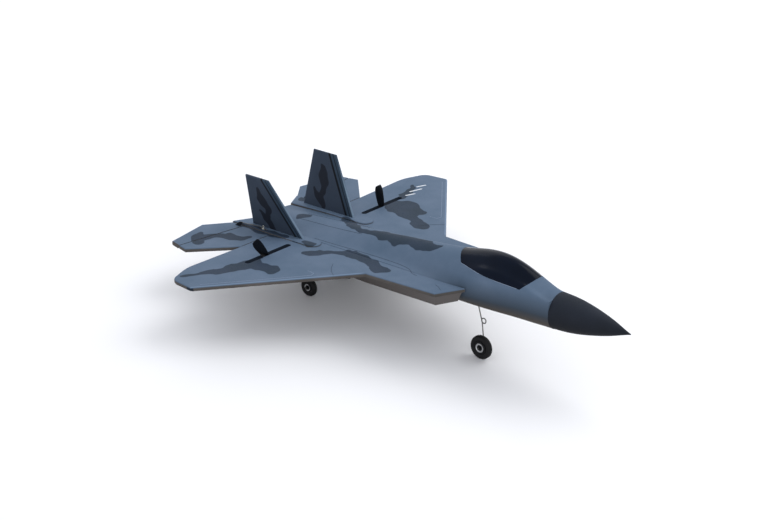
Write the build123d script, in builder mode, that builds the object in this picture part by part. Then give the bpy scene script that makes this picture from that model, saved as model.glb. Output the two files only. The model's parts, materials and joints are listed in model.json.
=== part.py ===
"""Twin-propeller foam jet, radio controlled, standing on its three wheels.

Every piece is drawn in the airframe's level frame: X runs forward from the tail, Y to port, Z up
from the wing plane. Finished pieces are then set in the ground stance, nose a little high, with
the origin on the ground under the middle of the bounding box. All lengths are millimetres.
"""
from build123d import *
from math import asin, atan2, cos, degrees, hypot, radians, sin
import os

SIDES = {"left": 1, "right": -1}

# Fuselage
NOSE_TIP = (613.5, -7.8)
CONE_STATION = 512
CONE_RADIUS = 23
CONE_AXIS_Z = -6.5
CONE_POWER = 1.8
TIP_RADIUS = 0.6
TAIL_STATION = 41
BODY_HALF = 40
SEAM_Z = -3
KEEL_Z = -28.6

# Foam plates
WING_TOP = 3
WING_BOTTOM = -2.5
HALF_SPAN = 250
BOOM_TOP = 5
BOOM_OUTER = 62
TAIL_JOINT = 94
FIN_CANT = 12.6
FIN_THICKNESS = 4
FIN_ROOT_Y = 49.2
FIN_HEIGHT = 75.8

# Propulsion
PROP_STATION = 138
PROP_Y = 111.5
PROP_AXIS_Z = -3
PROP_RADIUS = 38
SLOT_WIDTH = 8
SLOT_LENGTH = 81
MOTOR_DIAMETER = 8.5
MOTOR_LENGTH = 20
SHAFT_DIAMETER = 1
PROP_REST = {"left": -12.3, "right": 37}

# Undercarriage
NOSE_WHEEL_RADIUS = 15.5
NOSE_WHEEL_WIDTH = 8
NOSE_AXLE = (401, -5.6, -87)
MAIN_WHEEL_RADIUS = 12.5
MAIN_WHEEL_WIDTH = 7
MAIN_AXLE = (139, 38, -67.5)
WIRE = 1.5
MAIN_WIRE = 2
BORE_CLEARANCE = 0.05
LEG_STATION = 391

# Hatch and bays
HATCH_GAP = 0.3
BAY_HALF = 15
BAY_FLOOR = -20
BAY = (255, 465)

# Elevons
HINGE_IN = (46, BOOM_OUTER + 0.6)
HINGE_OUT = (30, 164.2)
HINGE_GAP = 0.5
SERVO_PIVOT = (77, 57.5, -1)
ARM_RADIUS = 9
ROD_Z = SERVO_PIVOT[2] + ARM_RADIUS
ROD_DIAMETER = 0.8
STEER_ARM = 9
STEER_PIVOT = (360, 0)
STEER_Z = -8.5

# Ground stance: the line under all three wheels becomes the ground.
wheel_run = NOSE_AXLE[0] - MAIN_AXLE[0]
wheel_drop = MAIN_AXLE[2] - NOSE_AXLE[2]
radius_step = NOSE_WHEEL_RADIUS - MAIN_WHEEL_RADIUS
STANCE_DEG = degrees(atan2(wheel_drop, wheel_run)) + degrees(asin(radius_step / hypot(wheel_run, wheel_drop)))


def pitched(x, z):
    """Give a level-frame point after the nose is raised to the ground stance."""
    angle = radians(STANCE_DEG)
    return x * cos(angle) - z * sin(angle), x * sin(angle) + z * cos(angle)


ground_z = pitched(MAIN_AXLE[0], MAIN_AXLE[2])[1] - MAIN_WHEEL_RADIUS
middle_x = (pitched(*NOSE_TIP)[0] + pitched(0, WING_TOP)[0]) / 2
STANCE = Location((-middle_x, 0, -ground_z), (0, -STANCE_DEG, 0))


def write(piece, node):
    """Set a finished piece in the ground stance, label it and write it."""
    piece.part = STANCE * piece.part
    piece.part.label = node
    export_step(piece.part, f"parts/{node}.step")


def slab(points, low, high, rounding, glued_y, corners=()):
    """Foam plate with a flat plan outline; its free edges and given corners are rounded."""
    with BuildPart() as plate:
        with BuildSketch(Plane.XY.offset(low)) as outline:
            with BuildLine():
                Polyline(*points, close=True)
            make_face()
            for x, y, radius in corners:
                fillet(outline.vertices().sort_by_distance((x, y, low))[0], radius)
        extrude(amount=high - low)
        flat = plate.edges().filter_by(Plane.XY)
        free = flat.filter_by(lambda e: abs(e.center().Y) > glued_y and abs(e.center().X - TAIL_JOINT) > 0.5)
        fillet(free, rounding)
    return plate.part


def block(x0, x1, y0, y1, z0, z1):
    """Plain box between two corners, for pockets and small parts."""
    low_y, high_y = sorted((y0, y1))
    centre = ((x0 + x1) / 2, (low_y + high_y) / 2, (z0 + z1) / 2)
    return Pos(*centre) * Box(abs(x1 - x0), high_y - low_y, abs(z1 - z0), mode=Mode.PRIVATE)


def side_prism(points, half_width):
    """Prism with a side-view outline, extruded both ways across the body."""
    with BuildPart() as prism:
        with BuildSketch(Plane.XZ):
            with BuildLine():
                Polyline(*points, close=True)
            make_face()
        extrude(amount=half_width, both=True)
    return prism.part


def round_bar(start, end, diameter):
    """Straight round bar between two points."""
    run = Vector(*end) - Vector(*start)
    with BuildPart() as bar:
        with BuildSketch(Plane(origin=start, z_dir=run)):
            Circle(diameter / 2)
        extrude(amount=run.length)
    return bar.part


# Station, half width, foot height, top, bottom, shoulder fullness, foot angle
BODY_STATIONS = [
    (TAIL_STATION, 36, 2, 8, -9, 0.42, 30),
    (110, BODY_HALF, 3, 13, -15, 0.44, 12),
    (200, BODY_HALF, 3.4, 20, -20, 0.42, 12),
    (300, BODY_HALF, 3.4, 29, -25, 0.44, 14),
    (366, BODY_HALF, 2, 36, -28, 0.58, 40),
    (399, 36, -2, 42, -29, 0.74, 80),
    (420, 33, -4, 44, -29.4, 0.79, 88),
    (443, 29.5, -5, 42, -29.5, 0.8, 90),
    (468, 26, -6, 34, -29.5, 0.8, 90),
    (490, 24.3, CONE_AXIS_Z, 23.5, -29.5, 0.8, 90),
    (CONE_STATION, CONE_RADIUS, CONE_AXIS_Z, CONE_AXIS_Z + CONE_RADIUS, CONE_AXIS_Z - CONE_RADIUS, 0.8, 90),
]
SHOULDER = 0.6
STATION_COUNT = 20


def table_slope(rows, k, column):
    """Slope of one column at a row of a table, flat where the column turns."""
    before = max(k - 1, 0)
    after = min(k + 1, len(rows) - 1)
    if k in (before, after):
        return (rows[after][column] - rows[before][column]) / (rows[after][0] - rows[before][0])
    rise_in = (rows[k][column] - rows[before][column]) / (rows[k][0] - rows[before][0])
    rise_out = (rows[after][column] - rows[k][column]) / (rows[after][0] - rows[k][0])
    if rise_in * rise_out <= 0:
        return 0
    return 2 * rise_in * rise_out / (rise_in + rise_out)


def table_at(rows, x):
    """Values between the rows of a table, on curves that never overshoot."""
    k = max(i for i in range(len(rows) - 1) if rows[i][0] <= x)
    span = rows[k + 1][0] - rows[k][0]
    t = (x - rows[k][0]) / span
    values = []
    for column in range(1, len(rows[k])):
        start = rows[k][column] * (1 + 2 * t) * (1 - t) ** 2
        end = rows[k + 1][column] * t * t * (3 - 2 * t)
        leaving = table_slope(rows, k, column) * span * t * (1 - t) ** 2
        arriving = table_slope(rows, k + 1, column) * span * t * t * (1 - t)
        values.append(start + end + leaving - arriving)
    return values


def body_loft():
    """Outer shape of the whole fuselage, canopy bulge included."""
    step = (CONE_STATION - TAIL_STATION) / STATION_COUNT
    with BuildPart() as body:
        for i in range(STATION_COUNT + 1):
            x = TAIL_STATION + i * step
            half, foot, top, bottom, full, angle = table_at(BODY_STATIONS, x)
            rise = top - foot
            drop = foot - bottom
            lean = radians(angle)
            with BuildSketch(Plane.YZ.offset(x)):
                with BuildLine():
                    Spline(
                        (half, foot), (SHOULDER * half, foot + full * rise), (0, top),
                        (-SHOULDER * half, foot + full * rise), (-half, foot),
                        tangents=((-cos(lean), sin(lean)), (-cos(lean), -sin(lean))),
                    )
                    Spline(
                        (-half, foot), (-SHOULDER * half, foot - 0.82 * drop), (0, bottom),
                        (SHOULDER * half, foot - 0.82 * drop), (half, foot),
                        tangents=((0, -1), (0, 1)),
                    )
                make_face()
        loft()
        add(block(0, 600, -BODY_HALF, BODY_HALF, -60, 80), mode=Mode.INTERSECT)
    return body.part


# Side view of the hatch: rear top, rear corner, sill, front corner, front top
SILL = [(366, 38), (380, 26.8), (406, 25.6), (441, 20.6), (470.5, 17), (482, 28)]


def hatch_prism(grow):
    """Side-view cutter for the hatch, grown by a gap for the hole in the body."""
    rear = [(x - grow, z - grow) for x, z in SILL[:4]]
    front = [(SILL[4][0], SILL[4][1] - grow), (SILL[5][0] + grow, SILL[5][1])]
    lid = [(SILL[5][0] + grow + 6, 60), (SILL[0][0] - grow, 60)]
    return side_prism(rear + front + lid, 60)


body = body_loft()
bay = block(BAY[0], BAY[1], -BAY_HALF, BAY_HALF, BAY_FLOOR, 13)
hatch_well = block(386, 462, -BAY_HALF, BAY_HALF, 0, 40)
servo_bay = block(STEER_PIVOT[0] - 17.5, STEER_PIVOT[0] + 6.5, -6, 6, -25, BAY_FLOOR + 1)
leg_pocket = block(384, 398, -8, 8, KEEL_Z - 2, BAY_FLOOR + 1)


def boom_block(s):
    """Tail beam that carries a fin, with a rounded front end."""
    with BuildPart() as boom:
        with BuildSketch(Plane.XY.offset(-8)):
            with BuildLine():
                inner = s * 40.3
                outer = s * BOOM_OUTER
                middle = s * (BOOM_OUTER + 40.3) / 2
                Polyline((38, s * 36.4), (72, s * 38.7), (98, s * 40.2), (110, inner), (160, inner))
                ThreePointArc((160, inner), (171, middle), (160, outer))
                Polyline((160, outer), (24.9, outer), (38, s * 36.4))
            make_face()
        extrude(amount=BOOM_TOP + 8)
        fillet(boom.faces().sort_by(Axis.Z)[-1].edges(), 1.6)
    return boom.part


def fin_plane(s):
    """Canted plane of a fin, X forward and Y up along the fin."""
    cant = radians(FIN_CANT)
    return Plane(origin=(0, s * FIN_ROOT_Y, BOOM_TOP), x_dir=(1, 0, 0), z_dir=(0, -cos(cant), s * sin(cant)))


def fin(s):
    """Foam fin with a tab that sits in the boom, chamfered all round."""
    with BuildPart() as plate:
        with BuildSketch(fin_plane(s)):
            with BuildLine():
                Polyline((52, -6), (142, -6), (142, 0), (97, FIN_HEIGHT), (57, FIN_HEIGHT), (52, 0), close=True)
            make_face()
        extrude(amount=FIN_THICKNESS / 2, both=True)
        rims = plate.edges().filter_by(lambda e: e.center().Z > BOOM_TOP + 8 and e.length > 30)
        fillet(rims, 1.3)
    return plate


def upper_fuselage():
    """Foam spine and nose top, with the battery bay and the hatch opening."""
    with BuildPart() as shell:
        add(body)
        split(bisect_by=Plane.XY.offset(SEAM_Z), keep=Keep.TOP)
        add(hatch_prism(HATCH_GAP), mode=Mode.SUBTRACT)
        add(bay, mode=Mode.SUBTRACT)
        add(hatch_well, mode=Mode.SUBTRACT)
        with BuildSketch(Plane.YZ.offset(TAIL_STATION)):
            with GridLocations(30, 1, 2, 1):
                Rectangle(22, 7)
        extrude(amount=7, mode=Mode.SUBTRACT)
        add(round_bar((170, -60, 0.25), (170, 60, 0.25), 3.02), mode=Mode.SUBTRACT)
        add(block(387.9, 393.1, 15.5, 19.7, 23.1, 29), mode=Mode.SUBTRACT)
    return shell


def lower_fuselage():
    """Foam belly with a flat keel and pockets for the nose gear and servo."""
    with BuildPart() as shell:
        add(body)
        split(bisect_by=Plane.XY.offset(SEAM_Z), keep=Keep.BOTTOM)
        split(bisect_by=Plane.XY.offset(KEEL_Z), keep=Keep.TOP)
        add(bay, mode=Mode.SUBTRACT)
        add(servo_bay, mode=Mode.SUBTRACT)
        add(leg_pocket, mode=Mode.SUBTRACT)
        with BuildSketch(Plane.YZ.offset(TAIL_STATION)):
            with GridLocations(30, 1, 2, 1):
                Rectangle(22, 7)
        extrude(amount=7, mode=Mode.SUBTRACT)
        add(block(125, 153, -32, 32, -40, -15.5), mode=Mode.SUBTRACT)
    return shell


def nose_cone():
    """Pointed foam nose: circles that close in along an ogive."""
    length = NOSE_TIP[0] - CONE_STATION
    with BuildPart() as cone:
        for t in (0, 0.2, 0.4, 0.6, 0.8, 0.93, 1):
            radius = max(CONE_RADIUS * (1 - t ** CONE_POWER), TIP_RADIUS)
            with BuildSketch(Plane.YZ.offset(CONE_STATION + t * length)):
                with Locations((0, CONE_AXIS_Z + t * (NOSE_TIP[1] - CONE_AXIS_Z))):
                    Circle(radius)
        loft()
    return cone


def canopy_hatch():
    """Dark canopy, the cut-out part of the body, hollow above the battery."""
    with BuildPart() as hatch:
        add(body)
        add(hatch_prism(0), mode=Mode.INTERSECT)
        add(block(394, 460, -12, 12, 0, 31), mode=Mode.SUBTRACT)
        add(block(387.9, 393.1, 15.5, 19.7, 20, 28.6), mode=Mode.SUBTRACT)
    return hatch


def wing_outline(s):
    """Plan outline of one wing panel with its share of the deck."""
    return [
        (TAIL_JOINT, s * 40.2), (TAIL_JOINT, s * 116), (90.5, s * 210), (103.7, s * 246), (141, s * HALF_SPAN),
        (275, s * 80), (380, s * 74), (399, s * 38), (372, s * 40.2),
    ]


def motor_pocket(s):
    """Space of a motor clamp, just ahead of the propeller slot."""
    front = PROP_STATION + SLOT_WIDTH / 2 + 24
    rear = PROP_STATION + SLOT_WIDTH / 2 + 2
    return block(rear, front, s * (PROP_Y - 6), s * (PROP_Y + 6), -9, 1.6)


def wing(s):
    """Foam wing panel with the slot that its propeller turns in."""
    with BuildPart() as panel:
        tips = [(90.5, s * 210, 60), (103.7, s * 246, 16), (141, s * HALF_SPAN, 6)]
        add(slab(wing_outline(s), WING_BOTTOM, WING_TOP, 1.7, 41, tips))
        with BuildSketch(Plane.XY.offset(-10)):
            with Locations((PROP_STATION, s * PROP_Y)):
                SlotOverall(SLOT_LENGTH, SLOT_WIDTH, rotation=90)
        extrude(amount=20, mode=Mode.SUBTRACT)
        add(motor_pocket(s), mode=Mode.SUBTRACT)
        add(boom_block(s), mode=Mode.SUBTRACT)
        add(round_bar((170, s * 30, 0.25), (170, s * 180, 0.25), 3.02), mode=Mode.SUBTRACT)
    return panel


def tail_boom(s):
    """Foam beam under a fin, with the fin slot and the servo pocket."""
    px, py, pz = SERVO_PIVOT
    with BuildPart() as boom:
        add(boom_block(s))
        add(fin(s).part, mode=Mode.SUBTRACT)
        add(block(px - 17, px + 6, s * 52.2, s * 56.4, -12, 3.6), mode=Mode.SUBTRACT)
        add(block(px - 7, px + 7, s * 56.4, s * 59.6, -6, 10), mode=Mode.SUBTRACT)
        add(round_bar((170, s * 30, 0.25), (170, s * 80, 0.25), 3.02), mode=Mode.SUBTRACT)
    return boom


def hinge_x(y):
    """Station of the elevon hinge line at a spanwise place."""
    (x0, y0), (x1, y1) = HINGE_IN, HINGE_OUT
    return x0 + (x1 - x0) * (y - y0) / (y1 - y0)


def tailplane(s):
    """Fixed front part of a tail surface."""
    inner = BOOM_OUTER
    with BuildPart() as plane:
        points = [
            (TAIL_JOINT, s * inner), (TAIL_JOINT, s * 116), (44.6, s * 168), (hinge_x(167), s * 164.4),
            (hinge_x(inner), s * inner),
        ]
        add(slab(points, WING_BOTTOM, WING_TOP, 1.5, 63))
    return plane


def elevon(s):
    """Moving rear part of a tail surface, bevelled under its hinge line."""
    inner = BOOM_OUTER + 0.6
    with BuildPart() as flap:
        for z, bevel in ((WING_BOTTOM, 3.2), (WING_TOP, 0)):
            front = HINGE_GAP + bevel
            with BuildSketch(Plane.XY.offset(z)):
                with BuildLine():
                    Polyline(
                        (hinge_x(inner) - front, s * inner), (hinge_x(163.8) - front, s * 163.8),
                        (12, s * 160), (0, s * 95), (24.9, s * inner), close=True,
                    )
                make_face()
        loft(ruled=True)
        rear = flap.edges().filter_by(Plane.XY).filter_by(lambda e: e.center().X < 22 and e.length > 40)
        fillet(rear, 1.4)
    return flap


def intake_block(s):
    """Foam block under the deck in the shape of an intake, closed at its front."""
    low = [(58, 42), (90, 62), (267, 69), (377, 67.5), (390, 40.3), (110, 40.3)]
    high = [(50, 41), (80, 70), (272, 77), (379, 72.5), (396, 40.3), (110, 40.3)]
    with BuildPart() as duct:
        for points, z in ((low, -16), (high, WING_BOTTOM)):
            with BuildSketch(Plane.XY.offset(z)):
                with BuildLine():
                    Polyline(*[(x, s * y) for x, y in points], close=True)
                make_face()
        loft(ruled=True)
        front = duct.edges().filter_by(lambda e: e.center().X > 200 and e.center().Z < WING_BOTTOM - 1)
        fillet(front.filter_by(lambda e: abs(e.center().Y) > 41), 2)
        add(side_prism([(40, -20), (170, -20), (150, -16), (40, -4)], 100), mode=Mode.SUBTRACT)
        add(boom_block(s), mode=Mode.SUBTRACT)
        px = SERVO_PIVOT[0]
        add(block(px - 17, px + 6, s * 52.2, s * 56.4, -12, 3.6), mode=Mode.SUBTRACT)
    return duct


def wing_spar():
    """Carbon tube that joins both wings through the fuselage."""
    with BuildPart() as spar:
        add(round_bar((170, -178, 0.25), (170, 178, 0.25), 3))
        add(round_bar((170, -179, 0.25), (170, 179, 0.25), 2), mode=Mode.SUBTRACT)
    return spar


def motor_mount(s):
    """Plastic clamp that holds a motor under the wing skin."""
    rear = PROP_STATION + SLOT_WIDTH / 2 + 2
    with BuildPart() as clamp:
        add(block(rear + 0.1, rear + 21.9, s * (PROP_Y - 5.9), s * (PROP_Y + 5.9), -8.6, 1.5))
        fillet(clamp.edges().filter_by(Axis.X), 2.5)
        start = (rear - 1, s * PROP_Y, PROP_AXIS_Z)
        end = (rear + 30, s * PROP_Y, PROP_AXIS_Z)
        add(round_bar(start, end, MOTOR_DIAMETER + 0.02), mode=Mode.SUBTRACT)
    return clamp


def motor(s):
    """Small can motor with a rear boss and a through bore for its shaft."""
    rear = PROP_STATION + SLOT_WIDTH / 2 + 3.4
    with BuildPart() as can:
        with BuildSketch(Plane.YZ.offset(rear)):
            with Locations((s * PROP_Y, PROP_AXIS_Z)):
                Circle(MOTOR_DIAMETER / 2)
        extrude(amount=MOTOR_LENGTH)
        fillet(can.edges().filter_by(GeomType.CIRCLE), 0.6)
        with BuildSketch(Plane.YZ.offset(rear - 1.2)):
            with Locations((s * PROP_Y, PROP_AXIS_Z)):
                Circle(1.6)
        extrude(amount=1.3)
        with BuildSketch(Plane.YZ.offset(rear - 2)):
            with Locations((s * PROP_Y, PROP_AXIS_Z)):
                Circle(SHAFT_DIAMETER / 2 + BORE_CLEARANCE)
        extrude(amount=MOTOR_LENGTH - 4, mode=Mode.SUBTRACT)
    return can


def motor_shaft(s):
    """Steel shaft that turns with the propeller."""
    with BuildPart() as shaft:
        start = (PROP_STATION - 3.5, s * PROP_Y, PROP_AXIS_Z)
        end = (PROP_STATION + SLOT_WIDTH / 2 + 3 + MOTOR_LENGTH - 7, s * PROP_Y, PROP_AXIS_Z)
        add(round_bar(start, end, SHAFT_DIAMETER))
    return shaft


# Radius, chord, thickness and pitch angle along a blade
BLADE_STATIONS = [(2.4, 5, 2.6, 40), (10, 9.4, 2, 28), (22, 11.6, 1.5, 21), (34, 11, 1, 16), (PROP_RADIUS, 8, 0.7, 14)]


def blade(s, angle):
    """One twisted blade, lofted outwards through its stations."""
    centre = Vector(PROP_STATION, s * PROP_Y, PROP_AXIS_Z)
    radial = Vector(0, s * sin(angle), cos(angle))
    tangent = Vector(1, 0, 0).cross(radial)
    with BuildPart() as wing_blade:
        for radius, chord, thick, pitch in BLADE_STATIONS:
            beta = radians(pitch)
            chord_way = tangent * cos(beta) - Vector(sin(beta), 0, 0)
            with BuildSketch(Plane(origin=centre + radial * radius, x_dir=chord_way, z_dir=radial)):
                Ellipse(chord / 2, thick / 2)
        loft()
    return wing_blade.part


def propeller(s, rest_angle):
    """Two-blade push propeller on a round hub, bored for the shaft."""
    with BuildPart() as prop:
        with BuildSketch(Plane.YZ.offset(PROP_STATION - 3.2)):
            with Locations((s * PROP_Y, PROP_AXIS_Z)):
                Circle(3.6)
        extrude(amount=6.4)
        fillet(prop.edges().filter_by(GeomType.CIRCLE), 0.8)
        for turn in (0, 180):
            add(blade(s, radians(rest_angle + turn)))
        with BuildSketch(Plane.YZ.offset(PROP_STATION - 8)):
            with Locations((s * PROP_Y, PROP_AXIS_Z)):
                Circle(SHAFT_DIAMETER / 2)
        extrude(amount=16, mode=Mode.SUBTRACT)
    return prop


def tyre(centre, radius, width):
    """Foam-rubber tyre with a rounded tread."""
    with BuildPart() as ring:
        with BuildSketch(Plane(origin=centre, x_dir=(0, 1, 0), z_dir=(1, 0, 0))):
            with Locations((0, 0.76 * radius)):
                RectangleRounded(width, 0.48 * radius, 0.2 * radius)
        revolve(axis=Axis(centre, (0, 1, 0)))
    return ring


def wheel_hub(centre, radius, width, axle):
    """Moulded hub with a dished face, a rim flange and a bore."""
    x, y, z = centre
    with BuildPart() as hub:
        with BuildSketch(Plane(origin=centre, x_dir=(0, 1, 0), z_dir=(1, 0, 0))):
            with BuildLine():
                half = width / 2
                rim = 0.52 * radius
                bore = axle / 2 + BORE_CLEARANCE
                boss = bore + 1.5
                Polyline(
                    (-half, bore), (half, bore), (half, boss), (0.3, boss), (0.3, rim - 1.6), (half - 0.6, rim - 1.6),
                    (half - 0.6, rim), (-half + 0.6, rim), (-half + 0.6, rim - 1.6), (-0.8, rim - 1.6),
                    (-0.8, boss), (-half, boss), close=True,
                )
            make_face()
        revolve(axis=Axis(centre, (0, 1, 0)))
    return hub


def collar(axis_x, axis_z, y_near, y_far, bore):
    """Small ring that keeps a wheel on its axle."""
    with BuildPart() as ring:
        add(round_bar((axis_x, y_near, axis_z), (axis_x, y_far, axis_z), 4.2))
        reach = 1 if y_far > y_near else -1
        add(round_bar((axis_x, y_near - reach, axis_z), (axis_x, y_far + reach, axis_z), bore), mode=Mode.SUBTRACT)
    return ring


def nose_leg_wire():
    """Steel nose leg: straight pivot, one spring coil, then the axle."""
    x_axle, y_wheel, z_axle = NOSE_AXLE
    end_y = y_wheel - NOSE_WHEEL_WIDTH / 2 - 2.6
    top = (LEG_STATION, 0, STEER_Z + 3)
    points = [top, (LEG_STATION, 0, -34), (LEG_STATION + 6.4, 0, -56), (x_axle, 0, z_axle), (x_axle, end_y, z_axle)]
    with BuildPart() as wire:
        with BuildLine() as path:
            FilletPolyline(*points, radius=0.8)
        with BuildSketch(Plane(origin=top, z_dir=(0, 0, -1))):
            Circle(WIRE / 2)
        sweep(path=path.line)
        coil = Plane(origin=(LEG_STATION + 8.8, 0, -53.5), x_dir=(1, 0, 0), z_dir=(0, 1, 0))
        add(coil.location * Torus(3.4, WIRE / 2, mode=Mode.PRIVATE))
    return wire


def main_gear_wire():
    """One bent steel wire for both main legs and axles."""
    x, y_wheel, z = MAIN_AXLE
    end = y_wheel + MAIN_WHEEL_WIDTH / 2 + 3
    inner = y_wheel - MAIN_WHEEL_WIDTH / 2 - 1.4
    half = [(inner, z), (24, -20.6)]
    points = [(x, end, z)] + [(x, y, h) for y, h in half] + [(x, -y, h) for y, h in reversed(half)] + [(x, -end, z)]
    with BuildPart() as wire:
        with BuildLine() as path:
            FilletPolyline(*points, radius=1.2)
        with BuildSketch(Plane(origin=points[0], z_dir=(0, -1, 0))):
            Circle(MAIN_WIRE / 2)
        sweep(path=path.line)
    return wire


def gear_plate():
    """Plastic plate let into the belly, over the main gear wire."""
    x = MAIN_AXLE[0]
    with BuildPart() as plate:
        add(block(x - 13, x + 13, -31, 31, -19.6, -15.6))
        fillet(plate.edges().filter_by(Axis.Z), 3)
    return plate


def gear_saddles():
    """Two clips that hold the wire against the plate."""
    x = MAIN_AXLE[0]
    with BuildPart() as clips:
        for y in (-15, 15):
            add(block(x - 8, x + 8, y - 3, y + 3, -23.4, -19.6))
        add(round_bar((x, -30, -20.6), (x, 30, -20.6), MAIN_WIRE), mode=Mode.SUBTRACT)
        add(block(x - 1, x + 1, -30, 30, -20.6, -19), mode=Mode.SUBTRACT)
    return clips


def gear_screws():
    """Four small screws through the clips into the plate."""
    x = MAIN_AXLE[0]
    with BuildPart() as screws:
        with BuildSketch(Plane.XY.offset(-24.4)):
            with GridLocations(11, 30, 2, 2):
                Circle(1.6)
        extrude(amount=1)
    screws.part = Pos(x, 0, 0) * screws.part
    return screws


def leg_bearing():
    """Plastic block in the belly that the nose leg turns in."""
    with BuildPart() as bearing:
        add(block(384.1, 397.9, -7.9, 7.9, KEEL_Z - 0.6, -12))
        fillet(bearing.edges().filter_by(Axis.Z), 1.5)
        bore = WIRE + 2 * BORE_CLEARANCE
        add(round_bar((LEG_STATION, 0, -40), (LEG_STATION, 0, 0), bore), mode=Mode.SUBTRACT)
    return bearing


def flat_arm(pivot, length, z, bore, way):
    """Thin arm with a round boss, turning about a vertical axis."""
    x, y = pivot
    with BuildPart() as arm:
        with BuildSketch(Plane.XY.offset(z)):
            with Locations((x, y)):
                Circle(2.8)
            with Locations((x, y + way * length / 2)):
                Rectangle(3, length)
            with Locations((x, y + way * length)):
                Circle(1.5)
        extrude(amount=1.4)
        with BuildSketch(Plane.XY.offset(z - 1)):
            with Locations((x, y)):
                Circle(bore / 2)
        extrude(amount=4, mode=Mode.SUBTRACT)
        with BuildSketch(Plane.XY.offset(z - 1)):
            with Locations((x, y + way * length)):
                Circle(0.5)
        extrude(amount=4, mode=Mode.SUBTRACT)
    return arm


def steering_servo():
    """Small servo lying under the nose, output spline up."""
    x, y = STEER_PIVOT
    with BuildPart() as servo:
        add(block(x - 17.4, x + 6.4, -5.9, 5.9, -24.9, -11.5))
        fillet(servo.edges().filter_by(Axis.Z), 0.8)
        add(round_bar((x, y, -11.6), (x, y, -10), 8))
        add(round_bar((x, y, -10.1), (x, y, STEER_Z + 0.9), 3.1))
    return servo


def steering_rod():
    """Wire between the servo arm and the steering arm, eyes at both ends."""
    z = STEER_Z + 1.4 + 0.3 + ROD_DIAMETER / 2
    with BuildPart() as rod:
        add(round_bar((STEER_PIVOT[0], STEER_ARM, z), (LEG_STATION, STEER_ARM, z), ROD_DIAMETER))
        for x in (STEER_PIVOT[0], LEG_STATION):
            add(round_bar((x, STEER_ARM, z - 0.3), (x, STEER_ARM, z + 0.3), 2.4))
    return rod


def elevon_servo(s):
    """Slim servo on its side in the tail boom, output towards the tip."""
    px, py, pz = SERVO_PIVOT
    with BuildPart() as servo:
        add(block(px - 16.9, px + 5.9, s * 52.3, s * 56.2, -11.9, 3.4))
        add(round_bar((px, s * 56.1, pz), (px, s * 57.2, pz), 3.1))
    return servo


def elevon_servo_arm(s):
    """Upright arm on the elevon servo."""
    px, py, pz = SERVO_PIVOT
    y_inner = s * 57.0
    with BuildPart() as arm:
        with BuildSketch(Plane(origin=(px, y_inner, pz), x_dir=(1, 0, 0), z_dir=(0, s, 0))):
            Circle(2.6)
            up = 1 if s < 0 else -1
            with Locations((0, up * ARM_RADIUS / 2)):
                Rectangle(2.8, ARM_RADIUS)
            with Locations((0, up * ARM_RADIUS)):
                Circle(1.4)
        extrude(amount=1.2)
        add(round_bar((px, s * 56.9, pz), (px, s * 57.3, pz), 3.3), mode=Mode.SUBTRACT)
    return arm


HORN_Y = 66.6


def control_horn(s):
    """Plastic horn glued on the elevon, its hole above the hinge line."""
    x = hinge_x(HORN_Y)
    with BuildPart() as horn:
        with BuildSketch(Plane.XZ.offset(-s * HORN_Y)):
            with BuildLine():
                Polyline(
                    (x - 11, WING_TOP), (x - 1.5, WING_TOP), (x + 1.6, ROD_Z + 0.6), (x + 0.8, ROD_Z + 1.8),
                    (x - 1.6, ROD_Z + 1.8), close=True,
                )
            make_face()
            with Locations((x, ROD_Z)):
                Circle(0.5, mode=Mode.SUBTRACT)
        extrude(amount=0.6, both=True)
    return horn


def elevon_rod(s):
    """Push rod from the servo arm to the horn, eyes at both ends."""
    arm_y = 57.0 + 1.2 + 0.3 + ROD_DIAMETER / 2
    horn_y = HORN_Y - 0.6 - 0.9 - ROD_DIAMETER / 2
    front = (SERVO_PIVOT[0], s * arm_y, ROD_Z)
    rear = (hinge_x(HORN_Y), s * horn_y, ROD_Z)
    with BuildPart() as rod:
        add(round_bar(front, rear, ROD_DIAMETER))
        for x, y, z in (front, rear):
            add(round_bar((x, y - 0.35, z), (x, y + 0.35, z), 2.2))
    return rod


def battery():
    """Soft-case battery pack with a wrapped end."""
    with BuildPart() as pack:
        add(block(405, 458, -11, 11, -18.3, -5))
        fillet(pack.edges().filter_by(Axis.X), 2)
    return pack


def battery_tray():
    """Thin plywood tray under the battery."""
    with BuildPart() as tray:
        add(block(402, 462, -13.5, 13.5, BAY_FLOOR, BAY_FLOOR + 1.5))
    return tray


def receiver():
    """Receiver and speed control board with its parts on top."""
    with BuildPart() as board:
        add(block(285, 325, -11, 11, BAY_FLOOR, BAY_FLOOR + 1.6))
        for x, y, w, d, h in ((292, -5, 8, 6, 3), (302, 4, 10, 8, 2.4), (315, -3, 6, 12, 4.5)):
            add(block(x - w / 2, x + w / 2, y - d / 2, y + d / 2, BAY_FLOOR + 1.5, BAY_FLOOR + 1.6 + h))
    return board


def magnet(z0, z1):
    """Square closing magnet of the hatch."""
    with BuildPart() as disc:
        add(block(388, 393, 15.6, 19.6, z0, z1))
    return disc


def wheel_set(name, centre, radius, width, axle):
    """Write one wheel as a tyre and a hub."""
    write(tyre(centre, radius, width), f"{name}_tyre")
    write(wheel_hub(centre, radius, width, axle), f"{name}_hub")


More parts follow.
